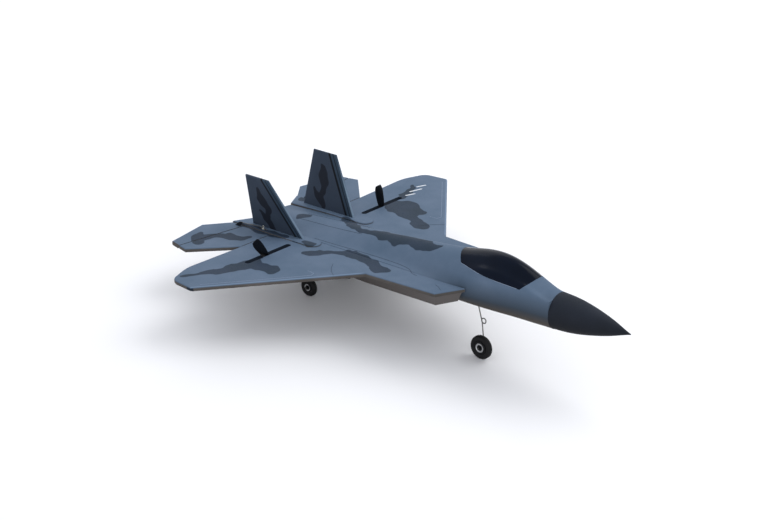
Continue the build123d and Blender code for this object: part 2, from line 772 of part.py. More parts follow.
def main():
    """Build and write every piece."""
    os.makedirs("parts", exist_ok=True)
    write(upper_fuselage(), "upper_fuselage")
    write(lower_fuselage(), "lower_fuselage")
    write(nose_cone(), "nose_cone")
    write(canopy_hatch(), "canopy_hatch")
    write(wing_spar(), "wing_spar")
    for side, s in SIDES.items():
        write(wing(s), f"{side}_wing")
        write(intake_block(s), f"{side}_intake_block")
        write(tail_boom(s), f"{side}_tail_boom")
        write(fin(s), f"{side}_fin")
        write(tailplane(s), f"{side}_tailplane")
        write(elevon(s), f"{side}_elevon")
        write(control_horn(s), f"{side}_control_horn")
        write(elevon_servo(s), f"{side}_elevon_servo")
        write(elevon_servo_arm(s), f"{side}_servo_arm")
        write(elevon_rod(s), f"{side}_elevon_rod")
        write(motor_mount(s), f"{side}_motor_mount")
        write(motor(s), f"{side}_motor")
        write(motor_shaft(s), f"{side}_motor_shaft")
        write(propeller(s, PROP_REST[side]), f"{side}_propeller")
        x, y, z = MAIN_AXLE
        wheel_set(f"{side}_wheel", (x, s * y, z), MAIN_WHEEL_RADIUS, MAIN_WHEEL_WIDTH, MAIN_WIRE)
        outer = y + MAIN_WHEEL_WIDTH / 2 + 0.4
        write(collar(x, z, s * outer, s * (outer + 2), MAIN_WIRE), f"{side}_wheel_collar")
    write(main_gear_wire(), "main_gear_wire")
    write(gear_plate(), "main_gear_plate")
    write(gear_saddles(), "gear_saddles")
    write(gear_screws(), "gear_screws")
    write(nose_leg_wire(), "nose_leg_wire")
    wheel_set("nose_wheel", NOSE_AXLE, NOSE_WHEEL_RADIUS, NOSE_WHEEL_WIDTH, WIRE)
    x, y, z = NOSE_AXLE
    outer = y - NOSE_WHEEL_WIDTH / 2 - 0.4
    write(collar(x, z, outer, outer - 2, WIRE), "nose_wheel_collar")
    write(leg_bearing(), "nose_leg_bearing")
    write(flat_arm((LEG_STATION, 0), STEER_ARM, STEER_Z, WIRE, 1), "steering_arm")
    write(steering_servo(), "steering_servo")
    write(flat_arm(STEER_PIVOT, STEER_ARM, STEER_Z, 3.2, 1), "steering_servo_arm")
    write(steering_rod(), "steering_rod")
    write(battery(), "battery_pack")
    write(battery_tray(), "battery_tray")
    write(receiver(), "receiver_board")
    write(magnet(26.9, 28.5), "hatch_magnet")
    write(magnet(23.2, 25.2), "body_magnet")


main()
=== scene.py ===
# %% [markdown]
# # A foam jet with two propellers
# The frame holds the engineering model: every foam block, wheel, wire and servo in its true place.
# This script gives those pieces their finishes, and adds what paint, film and moulding give the
# real model: camouflage, panel lines, plain white bars, tyre ribs and bright wheel rings.

# %% Load the frame
import bmesh
import bpy
import json
from math import atan2, cos, pi, radians, sin
from mathutils import Matrix, Vector
from mathutils.bvhtree import BVHTree


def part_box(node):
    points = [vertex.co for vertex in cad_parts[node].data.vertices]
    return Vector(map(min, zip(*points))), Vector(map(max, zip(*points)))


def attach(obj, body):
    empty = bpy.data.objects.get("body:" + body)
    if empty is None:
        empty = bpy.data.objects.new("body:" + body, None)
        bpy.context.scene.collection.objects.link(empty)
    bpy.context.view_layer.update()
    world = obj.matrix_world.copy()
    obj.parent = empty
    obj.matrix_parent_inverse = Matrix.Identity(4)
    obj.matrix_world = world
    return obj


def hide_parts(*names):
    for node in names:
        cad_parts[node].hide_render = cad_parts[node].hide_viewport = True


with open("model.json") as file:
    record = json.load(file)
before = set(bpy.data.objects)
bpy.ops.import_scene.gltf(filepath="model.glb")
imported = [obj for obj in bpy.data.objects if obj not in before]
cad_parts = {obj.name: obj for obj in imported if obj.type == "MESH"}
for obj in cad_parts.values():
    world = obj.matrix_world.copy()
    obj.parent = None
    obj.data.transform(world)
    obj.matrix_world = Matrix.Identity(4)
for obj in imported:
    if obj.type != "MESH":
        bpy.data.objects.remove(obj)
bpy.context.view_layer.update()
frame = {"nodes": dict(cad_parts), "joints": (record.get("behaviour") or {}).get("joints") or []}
nodes = frame["nodes"]

# %% [markdown]
# The model stands nose-high on its wheels. Paint lines and marks are laid out in the airframe's
# own level frame, in millimetres from the tail, so one function turns such a place into the
# frame's metres. The tilt is read from the nose gear's steering axis.

# %% The airframe's level frame
steering = next(j for j in frame["joints"] if j["name"] == "nose_steering")
axis = Vector(steering["axis"]).normalized()
TILT = atan2(-axis.x, axis.z)
LEG_STATION, LEG_HEIGHT = 391, -20
MM = 0.001
forward = Vector((cos(TILT), 0, sin(TILT)))
upward = Vector((-sin(TILT), 0, cos(TILT)))
leg_point = Vector(steering["pos_m"])
ORIGIN = leg_point - forward * LEG_STATION * MM - upward * LEG_HEIGHT * MM


def level(x, y, z):
    """Place in the level frame (mm) as a place in the row frame (m)."""
    return ORIGIN + forward * (x * MM) + Vector((0, y * MM, 0)) + upward * (z * MM)


print("tilt in degrees:", round(TILT * 180 / pi, 3), "tail point:", tuple(round(v, 4) for v in ORIGIN))

# %% [markdown]
# Colours are written as sRGB hex, the way a paint chart gives them, and turned to linear once.

# %% Colours and node helpers


def paint(code):
    """sRGB hex to linear RGBA."""
    channels = [int(code[i:i + 2], 16) / 255 for i in (1, 3, 5)]
    linear = [c / 12.92 if c <= 0.04045 else ((c + 0.055) / 1.055) ** 2.4 for c in channels]
    return (*linear, 1.0)


def add_node(tree, kind, inputs=None, **settings):
    """One node with its settings; an input is a value or another node's socket."""
    node = tree.nodes.new(kind)
    for key, value in settings.items():
        setattr(node, key, value)
    for key, value in (inputs or {}).items():
        if isinstance(value, bpy.types.NodeSocket):
            tree.links.new(value, node.inputs[key])
        else:
            node.inputs[key].default_value = value
    return node


def new_material(name):
    """Empty node material with a Principled shader."""
    material = bpy.data.materials.new(name)
    material.use_nodes = True
    tree = material.node_tree
    shader = next(n for n in tree.nodes if n.type == "BSDF_PRINCIPLED")
    return material, tree, shader


def finish_with(material, *names):
    """Give carried-over frame pieces a material."""
    for name in names:
        mesh = nodes[name].data
        mesh.materials.clear()
        mesh.materials.append(material)


print("white as linear:", paint("#FFFFFF"))

# %% [markdown]
# A Mapping node turns Object coordinates into the level frame in millimetres, so that every
# pattern's size is a real one. The same nodes start each foam material.

# %% Level coordinates inside a material


def level_coordinates(tree):
    """Object coordinates as level-frame millimetres."""
    coords = add_node(tree, "ShaderNodeTexCoord")
    ends = {0: coords.outputs["Object"], 1: tuple(ORIGIN)}
    moved = add_node(tree, "ShaderNodeVectorMath", ends, operation="SUBTRACT")
    turned = add_node(tree, "ShaderNodeMapping", {"Vector": moved.outputs[0], "Rotation": (0, TILT, 0)})
    to_mm = {0: turned.outputs[0], "Scale": 1 / MM}
    scaled = add_node(tree, "ShaderNodeVectorMath", to_mm, operation="SCALE")
    return scaled.outputs[0]


print("patterns are laid out in steps of", MM, "m")

# %% [markdown]
# Camouflage on such a model is sprayed, so a patch is the track of a spray can: wide where the
# hand lingers, narrow where it hurries. Each track is a chain of points, written as station,
# distance from the centre line and radius in millimetres. A painted image would do it too, but
# tracks stay editable. The two wings carry different patches, as hand-sprayed ones do.

# %% Tracks of the camouflage patches
SPRAYED = [
    # starboard wing, from the tip inwards, with a branch towards the propeller
    [
        (106, -236, 2), (114, -217, 4), (122, -204, 5), (132, -190, 8),
        (137, -168, 12), (146, -150, 14), (172, -146, 11), (181, -148, 9),
    ],
    [(146, -148, 9), (141, -130, 4)],
    # starboard root, a long wavy patch ending in a round head
    [
        (172, -79, 5), (184, -74, 8), (196, -58, 6), (214, -47, 8),
        (240, -46, 9), (262, -51, 8), (282, -59, 12),
    ],
    # spine, from the port side across the ridge
    [
        (137, 38, 7), (158, 22, 11), (180, 6, 11), (198, -4, 5), (217, -4, 5),
        (236, -3, 8), (274, -6, 10), (303, -6, 12), (320, -8, 7), (334, -7, 2),
    ],
    # port wing
    [(146, 128, 12), (162, 125, 23), (178, 118, 19), (193, 103, 11), (210, 97, 9), (230, 84, 10)],
    [(178, 121, 14), (200, 125, 7)],
    [(138, 150, 5), (133, 172, 6), (126, 188, 4), (119, 196, 2)],
    # tailplanes
    [(20, -119, 5), (32, -131, 12), (42, -140, 8)],
    [(34, -129, 9), (46, -108, 9), (57, -101, 11), (72, -98, 8), (82, -86, 4)],
    [(36, 130, 12), (50, 110, 9), (70, 100, 8), (82, 92, 4)],
    # shaded roots of the fins on the booms, and a round spot on the rear spine
    [(40, -62, 4), (80, -62, 6), (120, -60, 5)],
    [(40, 58, 5), (90, 58, 8), (120, 60, 5)],
    [(150, -57, 6), (163, -59, 7)],
    [(94, -4, 7), (102, 0, 6)],
]
# On a fin the second number is the height above the wing plane.
FIN_SPRAYED = [
    [(80, 60, 4), (81, 50, 7), (86, 36, 5), (85, 26, 5)],
    [(68, 31, 2), (77, 22, 5), (83, 17, 6), (88, 8, 4)],
]
print("tracks:", len(SPRAYED), "on the deck,", len(FIN_SPRAYED), "on each fin")


# %% [markdown]
# A track is filled with round dabs that melt together under a smooth minimum. Noise pushes the
# coordinates a little first, so the edges wander like a soft mask.

# %% Melting dabs into patches
DAB_SPACING = 0.9
WANDER_WAVES_PER_MM = 0.045
MELT_MM = 4.0


def dabs_of(chains):
    """Fill each chain with dabs closer than their radius."""
    dabs = []
    for chain in chains:
        for first, last in zip(chain, chain[1:]):
            gap = ((last[0] - first[0]) ** 2 + (last[1] - first[1]) ** 2) ** 0.5
            count = max(1, round(gap / (DAB_SPACING * (first[2] + last[2]) / 2)))
            for i in range(count):
                dabs.append(tuple(a + (b - a) * i / count for a, b in zip(first, last)))
        dabs.append(chain[-1])
    return dabs


DECK_DABS = dabs_of(SPRAYED)
FIN_DABS = dabs_of(FIN_SPRAYED)


def melted_dabs(tree, coordinates, dabs, flatten, wander=16.0, soft=0.4):
    """0 outside and 1 inside a group of dabs; flatten drops the axis looked along."""
    waves = {"Vector": coordinates, "Scale": WANDER_WAVES_PER_MM, "Detail": 1.0}
    noise = add_node(tree, "ShaderNodeTexNoise", waves)
    middle = {0: noise.outputs["Color"], 1: (0.5, 0.5, 0.5)}
    centred = add_node(tree, "ShaderNodeVectorMath", middle, operation="SUBTRACT")
    strength = {0: centred.outputs[0], "Scale": wander}
    push = add_node(tree, "ShaderNodeVectorMath", strength, operation="SCALE")
    both = {0: coordinates, 1: push.outputs[0]}
    shifted = add_node(tree, "ShaderNodeVectorMath", both, operation="ADD")
    kept = {0: shifted.outputs[0], 1: flatten}
    flat = add_node(tree, "ShaderNodeVectorMath", kept, operation="MULTIPLY")
    nearest = None
    for along, across, radius in dabs:
        centre = (along, across, 0) if flatten[1] else (along, 0, across)
        ends = {0: flat.outputs[0], 1: centre}
        away = add_node(tree, "ShaderNodeVectorMath", ends, operation="DISTANCE").outputs["Value"]
        edge = add_node(tree, "ShaderNodeMath", {0: away, 1: float(radius)}, operation="SUBTRACT")
        if nearest is None:
            nearest = edge.outputs[0]
        else:
            melted = {0: nearest, 1: edge.outputs[0], 2: MELT_MM}
            nearest = add_node(tree, "ShaderNodeMath", melted, operation="SMOOTH_MIN").outputs[0]
    limits = {"Value": nearest, "From Min": -soft, "From Max": soft, "To Min": 1.0, "To Max": 0.0}
    return add_node(tree, "ShaderNodeMapRange", limits).outputs[0]


print("dabs:", len(DECK_DABS), "on the deck,", len(FIN_DABS), "on each fin")

# %% [markdown]
# One shade is laid over another by a mask, so every painted finish needs one way to mix two
# colours. Either of them may be a fixed colour or the result of earlier nodes.

# %% Mixing two colours


def mix_colours(tree, factor, first, second):
    """Mix two colours, sockets or values, by a factor socket."""
    mix = add_node(tree, "ShaderNodeMix", data_type="RGBA")
    tree.links.new(factor, mix.inputs["Factor"])
    for socket, value in zip([i for i in mix.inputs if i.type == "RGBA"], (first, second)):
        if isinstance(value, bpy.types.NodeSocket):
            tree.links.new(value, socket)
        else:
            socket.default_value = value
    return [o for o in mix.outputs if o.type == "RGBA"][0]


print("colours mix by a factor socket")

# %% [markdown]
# The foam itself is expanded beads, 2 to 3 mm across, pressed flat by the mould. A Voronoi
# pattern of that size gives faint cell edges in the bump, and a finer noise the skin's grain.
# Roughness follows the same height, and the shine is low, as on matt water-based paint.

# %% Foam skin
BEAD_MM = 2.6


def foam_skin(tree, shader, coordinates, depth=0.12):
    """Bump and roughness of pressed foam beads."""
    beads = {"Vector": coordinates, "Scale": 1 / BEAD_MM}
    cells = add_node(tree, "ShaderNodeTexVoronoi", beads, feature="DISTANCE_TO_EDGE").outputs["Distance"]
    seam = add_node(tree, "ShaderNodeMapRange", {"Value": cells, "From Min": 0.0, "From Max": 0.12})
    grain = add_node(tree, "ShaderNodeTexNoise", {"Vector": coordinates, "Scale": 1.6, "Detail": 4.0})
    height = {0: grain.outputs[0], 1: 0.35, 2: seam.outputs[0]}
    mixed = add_node(tree, "ShaderNodeMath", height, operation="MULTIPLY_ADD")
    relief = {"Height": mixed.outputs[0], "Strength": 0.3, "Distance": depth * MM}
    tree.links.new(add_node(tree, "ShaderNodeBump", relief).outputs[0], shader.inputs["Normal"])
    sheen = {"Value": mixed.outputs[0], "From Max": 1.4, "To Min": 0.74, "To Max": 0.6}
    tree.links.new(add_node(tree, "ShaderNodeMapRange", sheen).outputs[0], shader.inputs["Roughness"])
    shader.inputs["Specular IOR Level"].default_value = 0.12


print("foam beads of", BEAD_MM, "mm")

# %% [markdown]
# Paint drifts slowly in shade, because a spray can never lays it quite even. Stripes and soft
# spray lines are bands of one coordinate, or of the distance from an edge, so they run true.

# %% Drifting shades, soft lines and bands


def drifting(tree, coordinates, low, high, scale=0.02):
    """Slow drift between two paint shades."""
    clouds = {"Vector": coordinates, "Scale": scale, "Detail": 4.0, "Roughness": 0.6}
    noise = add_node(tree, "ShaderNodeTexNoise", clouds).outputs[0]
    spread = add_node(tree, "ShaderNodeMapRange", {"Value": noise, "From Min": 0.3, "From Max": 0.7})
    return mix_colours(tree, spread.outputs[0], paint(low), paint(high))


def along_axis(tree, coordinates, axis, start, end):
    """0 to 1 between two values of one level coordinate."""
    split = add_node(tree, "ShaderNodeSeparateXYZ", {0: coordinates})
    limits = {"Value": split.outputs[axis], "From Min": start, "From Max": end}
    return add_node(tree, "ShaderNodeMapRange", limits).outputs[0]


def mirrored(tree, coordinates):
    """The same places with port and starboard folded together."""
    return add_node(tree, "ShaderNodeVectorMath", {0: coordinates}, operation="ABSOLUTE").outputs[0]


def edge_distance(tree, coordinates, point, normal):
    """Distance in millimetres from a line, measured along its normal, the same on both sides."""
    ends = {0: mirrored(tree, coordinates), 1: point}
    offset = add_node(tree, "ShaderNodeVectorMath", ends, operation="SUBTRACT")
    both = {0: offset.outputs[0], 1: normal}
    return add_node(tree, "ShaderNodeVectorMath", both, operation="DOT_PRODUCT").outputs["Value"]


def band(tree, distance, near, far, soft=0.25):
    """1 where a distance lies between two values."""
    middle = add_node(tree, "ShaderNodeMath", {0: distance, 1: (near + far) / 2}, operation="SUBTRACT")
    away = add_node(tree, "ShaderNodeMath", {0: middle.outputs[0]}, operation="ABSOLUTE")
    half = (far - near) / 2
    limits = {"Value": away.outputs[0], "From Min": half - soft, "From Max": half + soft}
    limits.update({"To Min": 1.0, "To Max": 0.0})
    return add_node(tree, "ShaderNodeMapRange", limits).outputs[0]


print("bands are measured in millimetres")

# %% [markdown]
# The deck paint is a matt grey-blue with darker patches. Edges and belly get a warm dark grey
# as painted shade, and the walls of the propeller slots a painted shadow darker still.
# On flat plates that split follows the way a face looks, read from its normal. The slots' place
# is read from the propeller joint. A pale rim runs along the wings' leading edges.

# %% Painted foam of the wings, tail and booms
DECK_SHADES = ("#4E6074", "#5A6A7E")
PATCH_SHADES = ("#26333F", "#2E3A4B")
UNDERSIDE_SHADE = "#45423F"
propeller = next(j for j in frame["joints"] if j["name"] == "left_propeller_spin")
SLOT_STATION = (Vector(propeller["pos_m"]) - ORIGIN).dot(forward) / MM
SLOT_SPAN = 50
WING_EDGE = (141, 250, 0)
WING_NORMAL = (-0.785, -0.619, 0)


def deck_paint(tree, coordinates):
    """Camouflage colour seen from above."""
    mask = melted_dabs(tree, coordinates, DECK_DABS, (1, 1, 0))
    ground = drifting(tree, coordinates, *DECK_SHADES)
    return mix_colours(tree, mask, ground, drifting(tree, coordinates, *PATCH_SHADES))


# Matt water-based paint on a bead-foam plate: dull, with painted shade on edges and undersides.
plate_foam, tree, shader = new_material("painted_bead_foam_plate")
coordinates = level_coordinates(tree)
colour = deck_paint(tree, coordinates)
rim = band(tree, edge_distance(tree, coordinates, WING_EDGE, WING_NORMAL), 0.8, 1.9)
outboard = along_axis(tree, mirrored(tree, coordinates), 1, 80, 84)
rim = add_node(tree, "ShaderNodeMath", {0: rim, 1: outboard}, operation="MULTIPLY")
colour = mix_colours(tree, rim.outputs[0], colour, paint("#70849B"))
# Faces that turn away from the sky get a warm dark grey: painted shade.
normal = add_node(tree, "ShaderNodeNewGeometry").outputs["Normal"]
facing = add_node(tree, "ShaderNodeSeparateXYZ", {0: normal})
below = {"Value": facing.outputs["Z"], "From Min": 0.15, "From Max": 0.6, "To Min": 1.0, "To Max": 0.0}
below = add_node(tree, "ShaderNodeMapRange", below).outputs[0]
edges = drifting(tree, coordinates, UNDERSIDE_SHADE, "#565250")
# Painted shadow, near black, on the walls of the propeller slots.
across_slot = along_axis(tree, coordinates, 0, SLOT_STATION - SLOT_SPAN, SLOT_STATION + SLOT_SPAN)
slot_shadow = band(tree, across_slot, 0.45, 0.55, 0.003)
edges = mix_colours(tree, slot_shadow, edges, paint("#1A222D"))
tree.links.new(mix_colours(tree, below, colour, edges), shader.inputs["Base Color"])
foam_skin(tree, shader, coordinates)
for side in ("left", "right"):
    finish_with(plate_foam, f"{side}_wing", f"{side}_tailplane", f"{side}_elevon", f"{side}_tail_boom")
print("deck shades", DECK_SHADES, "patch shades", PATCH_SHADES)

# %% [markdown]
# The fuselage halves carry the same paint, but they are round, so the warm grey painted shade
# follows the height towards the belly. The lower flanks of the nose get a little painted shade as well.

# %% Painted foam of the fuselage
body_foam, tree, shader = new_material("painted_bead_foam_body")
coordinates = level_coordinates(tree)
colour = deck_paint(tree, coordinates)
# Painted shade on the lower flanks of the nose, growing towards the front.
flank = along_axis(tree, coordinates, 2, 16, -10)
ahead = along_axis(tree, coordinates, 0, 310, 390)
flank = add_node(tree, "ShaderNodeMath", {0: flank, 1: ahead}, operation="MULTIPLY")
colour = mix_colours(tree, flank.outputs[0], colour, paint("#333C46"))
# Painted shade in warm grey towards the belly.
keel_shade = along_axis(tree, coordinates, 2, -8, -19)
belly = drifting(tree, coordinates, UNDERSIDE_SHADE, "#45403D")
tree.links.new(mix_colours(tree, keel_shade, colour, belly), shader.inputs["Base Color"])
foam_skin(tree, shader, coordinates)
finish_with(body_foam, "upper_fuselage", "lower_fuselage")
print("warm grey rises between 19 and 8 mm below the wing plane")

# %% [markdown]
# The intake blocks under the wing roots wear the belly shade alone, a little lighter to the front.

# %% Painted foam of the intake blocks
intake_foam, tree, shader = new_material("painted_bead_foam_intake")
coordinates = level_coordinates(tree)
front = along_axis(tree, coordinates, 0, 200, 395)
shades = mix_colours(tree, front, paint("#383533"), paint("#5A5654"))
tree.links.new(shades, shader.inputs["Base Color"])
foam_skin(tree, shader, coordinates)
finish_with(intake_foam, "left_intake_block", "right_intake_block")
print("intake blocks done")

# %% [markdown]
# The fins are sprayed darker. Along each leading edge runs a bluish band with a thin dark line
# in it, closed by a black stripe, and the very edge carries a pale painted highlight. All of them
# are bands of distance from the leading edge, so they stay parallel to it.

# %% Fins
FIN_EDGE = (142, 0, 5)
FIN_NORMAL = (-0.860, 0, -0.511)
AHEAD, HIGHLIGHT_TO, BLUE_TO, BLACK_TO = -3, 0.6, 9, 12
THIN_LINE = (4.2, 5.2)
fin_foam, tree, shader = new_material("painted_bead_foam_fin")
coordinates = level_coordinates(tree)
mask = melted_dabs(tree, coordinates, FIN_DABS, (1, 0, 1))
ground = drifting(tree, coordinates, "#2F3947", "#37414F")
bluish = drifting(tree, coordinates, "#2C3A48", "#344454")
colour = mix_colours(tree, mask, ground, paint("#1A1F29"))
edge = edge_distance(tree, coordinates, FIN_EDGE, FIN_NORMAL)
colour = mix_colours(tree, band(tree, edge, AHEAD, BLUE_TO), colour, bluish)
colour = mix_colours(tree, band(tree, edge, BLUE_TO, BLACK_TO), colour, paint("#080B11"))
colour = mix_colours(tree, band(tree, edge, *THIN_LINE), colour, paint("#10151D"))
# The pale band at the very edge is a painted highlight.
colour = mix_colours(tree, band(tree, edge, AHEAD, HIGHLIGHT_TO), colour, paint("#66788A"))
tree.links.new(colour, shader.inputs["Base Color"])
foam_skin(tree, shader, coordinates)
finish_with(fin_foam, "left_fin", "right_fin")
print("fin bands end at", HIGHLIGHT_TO, BLUE_TO, BLACK_TO, "mm from the leading edge")

# %% [markdown]
# The nose cone is sprayed a flat charcoal that darkens towards the belly. It is smoother than the
# plates, so its foam skin is shallower.

# %% Nose cone
nose_paint, tree, shader = new_material("charcoal_matt_paint")
coordinates = level_coordinates(tree)
fade = along_axis(tree, coordinates, 2, 12, -26)
charcoal = drifting(tree, coordinates, "#1E232B", "#252A34")
shades = mix_colours(tree, fade, charcoal, paint("#0C0E12"))
tree.links.new(shades, shader.inputs["Base Color"])
foam_skin(tree, shader, coordinates, depth=0.05)
finish_with(nose_paint, "nose_cone")
print("nose cone done")

# %% [markdown]
# The canopy is a smooth film over foam, nearly black with a navy cast. Under a pale sky a glossy
# black looks grey, so its specular level is low and only a faint highlight stays on the crest.

# %% Canopy
canopy_film, tree, shader = new_material("gloss_navy_film")
coordinates = level_coordinates(tree)
navy = drifting(tree, coordinates, "#040A16", "#081222", 0.015)
tree.links.new(navy, shader.inputs["Base Color"])
ripple = add_node(tree, "ShaderNodeTexNoise", {"Vector": coordinates, "Scale": 0.05, "Detail": 2.0})
relief = {"Height": ripple.outputs[0], "Strength": 0.1, "Distance": 0.2 * MM}
tree.links.new(add_node(tree, "ShaderNodeBump", relief).outputs[0], shader.inputs["Normal"])
shader.inputs["Roughness"].default_value = 0.16
shader.inputs["Specular IOR Level"].default_value = 0.08
finish_with(canopy_film, "canopy_hatch")
print("canopy done")

# %% [markdown]
# Small parts are nylon, wire, aluminium, film, plywood and board. All of them show a fine grain
# in colour, roughness and bump, pulled along one way where the stuff was drawn or turned. One
# function makes such a finish, and each call says what the real stuff is.

# %% A grained finish


def grained(name, low, high, rough, metal=0.0, grain_mm=0.4, depth=0.03, stretch=(1, 1, 1)):
    """Material with a fine directional grain in colour, roughness and bump."""
    material, tree, shader = new_material(name)
    coordinates = level_coordinates(tree)
    pull = {0: coordinates, 1: stretch}
    pulled = add_node(tree, "ShaderNodeVectorMath", pull, operation="MULTIPLY").outputs[0]
    grain = {"Vector": pulled, "Scale": 1 / grain_mm, "Detail": 5.0}
    value = add_node(tree, "ShaderNodeTexNoise", grain).outputs[0]
    tree.links.new(mix_colours(tree, value, paint(low), paint(high)), shader.inputs["Base Color"])
    spread = {"Value": value, "To Min": rough - 0.08, "To Max": rough + 0.08}
    tree.links.new(add_node(tree, "ShaderNodeMapRange", spread).outputs[0], shader.inputs["Roughness"])
    relief = {"Height": value, "Strength": 0.4, "Distance": depth * MM}
    tree.links.new(add_node(tree, "ShaderNodeBump", relief).outputs[0], shader.inputs["Normal"])
    shader.inputs["Metallic"].default_value = metal
    if not metal:
        shader.inputs["Specular IOR Level"].default_value = 0.25
    return material


# Glass-filled nylon, moulded: satin black with a fine grain.
black_nylon = grained("moulded_black_nylon", "#0A0B0D", "#15161A", 0.42)
finish_with(black_nylon, "main_gear_plate", "gear_saddles", "nose_leg_bearing", "steering_servo")
for side in ("left", "right"):
    finish_with(black_nylon, f"{side}_motor_mount", f"{side}_elevon_servo", f"{side}_control_horn")
for wheel in ("nose_wheel", "left_wheel", "right_wheel"):
    finish_with(black_nylon, f"{wheel}_hub", f"{wheel}_collar")
# Natural nylon for the servo arms: off-white, slightly waxy.
white_nylon = grained("natural_nylon", "#BDBDB6", "#D0D0CA", 0.38)
finish_with(white_nylon, "steering_servo_arm", "left_servo_arm", "right_servo_arm", "steering_arm")
print("nylon done")

# %% [markdown]
# Metals keep their default IOR. Wire is drawn, so its grain is pulled long; a motor can and the
# hub rings are turned, so theirs is pressed into rings.

# %% Metals, blades and the inside
# Drawn spring steel: grey, with lines along the draw.
spring_steel = grained("drawn_spring_steel", "#5E5E5C", "#7C7B78", 0.34, 1.0, 0.3, 0.01, (1, 1, 0.1))
finish_with(spring_steel, "main_gear_wire", "nose_leg_wire", "gear_screws", "steering_rod")
for side in ("left", "right"):
    finish_with(spring_steel, f"{side}_elevon_rod", f"{side}_motor_shaft")
# Turned aluminium, used for the bright magnets too.
turned_aluminium = grained("turned_aluminium", "#B9BABC", "#D0D1D3", 0.28, 1.0, 0.25, 0.01, (1, 6, 1))
finish_with(turned_aluminium, "left_motor", "right_motor", "hatch_magnet", "body_magnet")
# Gloss black nylon blades.
blade_nylon = grained("gloss_black_nylon", "#050608", "#0C0E13", 0.3, 0.0, 0.8, 0.02)
finish_with(blade_nylon, "left_propeller", "right_propeller")
# Pultruded carbon, shrink film, plywood and solder mask, all seen when the hatch is open.
finish_with(grained("pultruded_carbon", "#0C0C0D", "#1C1C1E", 0.3, 0.0, 0.3, 0.02, (1, 0.05, 1)), "wing_spar")
finish_with(grained("shrink_film_blue", "#16335E", "#1D427A", 0.3, 0.0, 2.0, 0.1), "battery_pack")
finish_with(grained("birch_plywood", "#B08A58", "#C9A672", 0.6, 0.0, 1.2, 0.05, (0.1, 1, 1)), "battery_tray")
finish_with(grained("solder_mask_green", "#0D3B22", "#14522F", 0.35, 0.0, 0.6, 0.03), "receiver_board")
# Foam rubber tyres: near black, dull, with a fine open grain.
foam_rubber = grained("black_foam_rubber", "#060607", "#101012", 0.62, 0.0, 0.35, 0.1)
# Scored line in foam, filled by shadow; and the pale lip that paint leaves along an edge.
scored_line = grained("shadowed_score", "#1E2531", "#262E3C", 0.8, 0.0, 0.6, 0.02)
pale_lip = grained("rubbed_paint_lip", "#76859B", "#8894A8", 0.6, 0.0, 0.6, 0.02)
# Printed vinyl film: matt white.
white_film = grained("matt_white_film", "#C9CED4", "#DADEE2", 0.5, 0.0, 1.0, 0.02)
print("materials:", len(bpy.data.materials))

# %% [markdown]
# Geometry Nodes make what repeats or follows a path. A small helper builds a tree with named
# inputs, and another runs it: inputs are set by identifier, the result is copied out as a plain
# mesh, and the modifier is gone before the piece is handed to the frame.

# %% Geometry Nodes helpers


def geometry_tree(name, inputs):
    """New tree with a geometry input and output and named number inputs."""
    tree = bpy.data.node_groups.new(name, "GeometryNodeTree")
    tree.interface.new_socket("Geometry", in_out="INPUT", socket_type="NodeSocketGeometry")
    tree.interface.new_socket("Geometry", in_out="OUTPUT", socket_type="NodeSocketGeometry")
    for key, kind in inputs.items():
        tree.interface.new_socket(key, in_out="INPUT", socket_type=kind)
    return tree, tree.nodes.new("NodeGroupInput"), tree.nodes.new("NodeGroupOutput")


def finish_tree(tree, last, material, result):
    """End a tree in real geometry with its material."""
    real = add_node(tree, "GeometryNodeRealizeInstances", {"Geometry": last.outputs[0]})
    finish = {"Geometry": real.outputs[0], "Material": material}
    tree.links.new(add_node(tree, "GeometryNodeSetMaterial", finish).outputs[0], result.inputs[0])


def grow(tree, name, values, base=None):
    """Run a tree on a mesh and return the result as a plain object at the origin."""
    carrier = bpy.data.objects.new(name + "_carrier", base or bpy.data.meshes.new(name + "_base"))
    bpy.context.collection.objects.link(carrier)
    modifier = carrier.modifiers.new("grow", "NODES")
    modifier.node_group = tree
    for item in tree.interface.items_tree:
        if item.in_out == "INPUT" and item.name in values:
            modifier[item.identifier] = values[item.name]
    graph = bpy.context.evaluated_depsgraph_get()
    mesh = bpy.data.meshes.new_from_object(carrier.evaluated_get(graph))
    bpy.data.objects.remove(carrier)
    piece = bpy.data.objects.new(name, mesh)
    bpy.context.collection.objects.link(piece)
    print(name, "faces:", len(mesh.polygons))
    return piece


# %% [markdown]
# Each tyre is a rounded band of foam rubber with shallow moulded ribs across its tread. The tree
# sweeps a filleted rectangle round a circle, stands ribs on the circle, and joins both.

# %% Tyres
RIB_HEIGHT, RIB_THICKNESS = 0.5 * MM, 0.7 * MM


